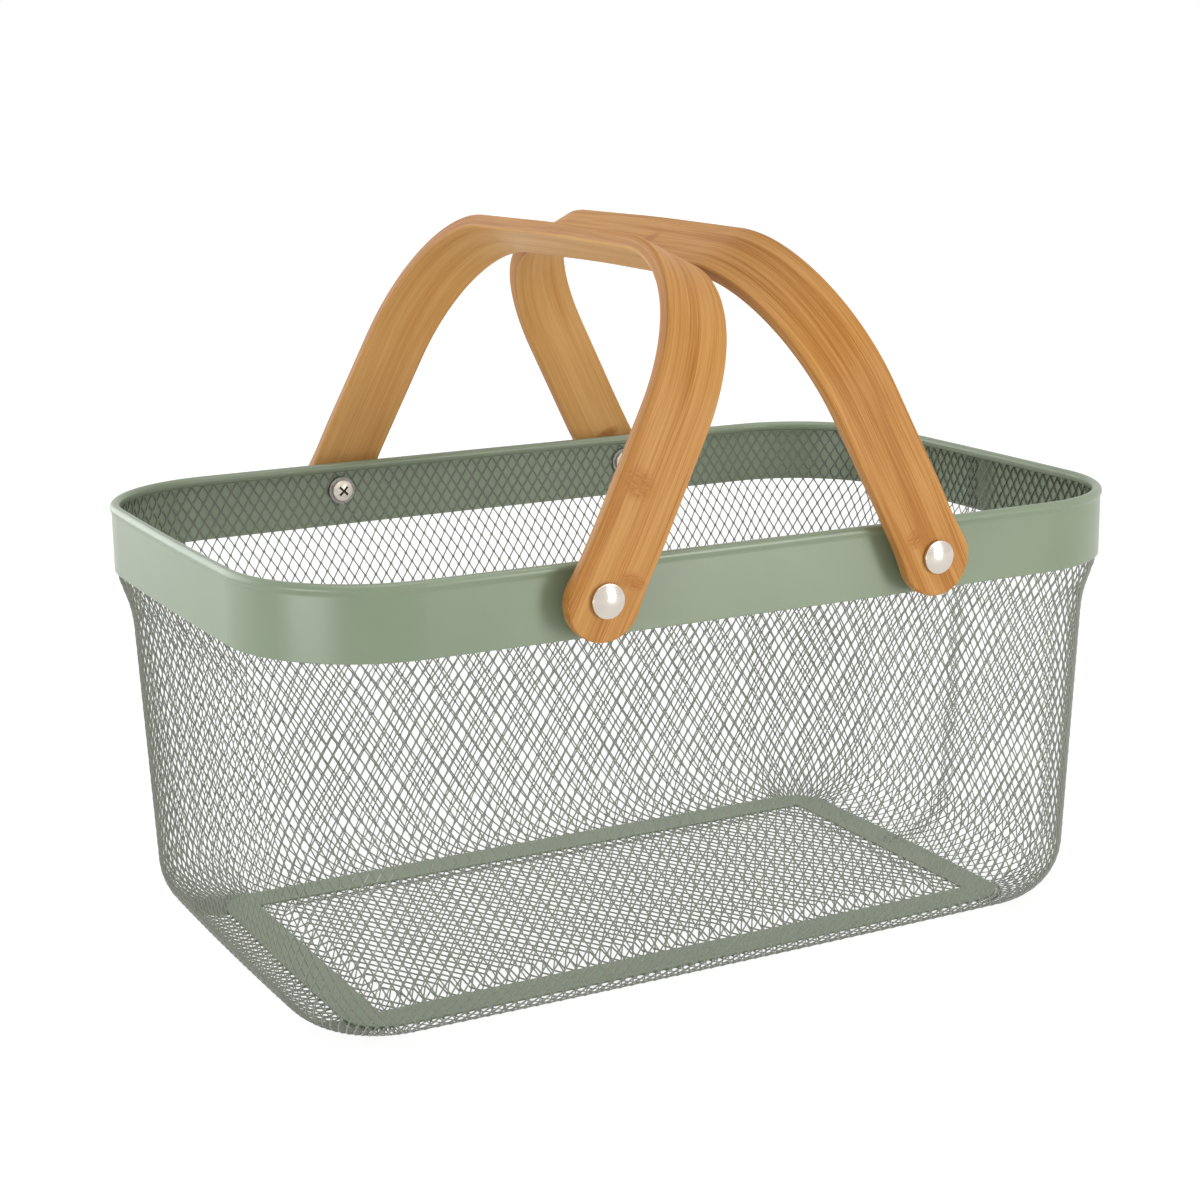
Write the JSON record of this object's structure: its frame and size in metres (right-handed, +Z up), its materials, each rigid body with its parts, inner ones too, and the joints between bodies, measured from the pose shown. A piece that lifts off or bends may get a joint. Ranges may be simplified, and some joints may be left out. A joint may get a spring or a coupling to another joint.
{
  "type": "carry basket",
  "caption": "Open rectangular basket with mesh walls, a raised mesh base, a smooth rim band and two folding bentwood bail handles on sleeve-nut pivots.",
  "frame": {"origin": "on the table, under the middle of the basket", "axes": "+X along the basket, +Y from front to back, +Z up"},
  "size_m": [0.39, 0.2752, 0.2968],
  "materials": {
    "green_steel": "satin sage green powder coat",
    "plain_wire": "drawn steel wire, uncoated",
    "bright_plate": "polished nickel plate",
    "dull_plate": "plain zinc plate",
    "nylon_ring": "dark moulded nylon",
    "bamboo": "bent laminated bamboo, clear satin lacquer"
  },
  "bodies": {
    "basket": {"rim_band": "green_steel", "rim_wire": "plain_wire", "mesh_wall": "green_steel", "mesh_base": "green_steel", "base_strip_front": "green_steel", "base_strip_back": "green_steel", "base_strip_left": "green_steel", "base_strip_right": "green_steel", "sleeve_nut_front_left": "bright_plate", "sleeve_nut_front_right": "bright_plate", "sleeve_nut_back_left": "bright_plate", "sleeve_nut_back_right": "bright_plate", "pivot_screw_front_left": "bright_plate", "pivot_screw_front_right": "bright_plate", "pivot_screw_back_left": "bright_plate", "pivot_screw_back_right": "bright_plate", "inner_washer_front_left": "dull_plate", "inner_washer_front_right": "dull_plate", "inner_washer_back_left": "dull_plate", "inner_washer_back_right": "dull_plate", "spacer_front_left": "nylon_ring", "spacer_front_right": "nylon_ring", "spacer_back_left": "nylon_ring", "spacer_back_right": "nylon_ring"},
    "handle_left": {"handle_left": "bamboo"},
    "handle_right": {"handle_right": "bamboo"}
  },
  "joints": [
    {"name": "left_handle_hinge", "type": "hinge", "parent": "basket", "child": "handle_left", "pos_m": [-0.073, 0, 0.1713], "axis": [0, -1, 0], "range_deg": [0, 136]},
    {"name": "right_handle_hinge", "type": "hinge", "parent": "basket", "child": "handle_right", "pos_m": [0.073, 0, 0.1713], "axis": [0, 1, 0], "range_deg": [0, 136]}
  ]
}
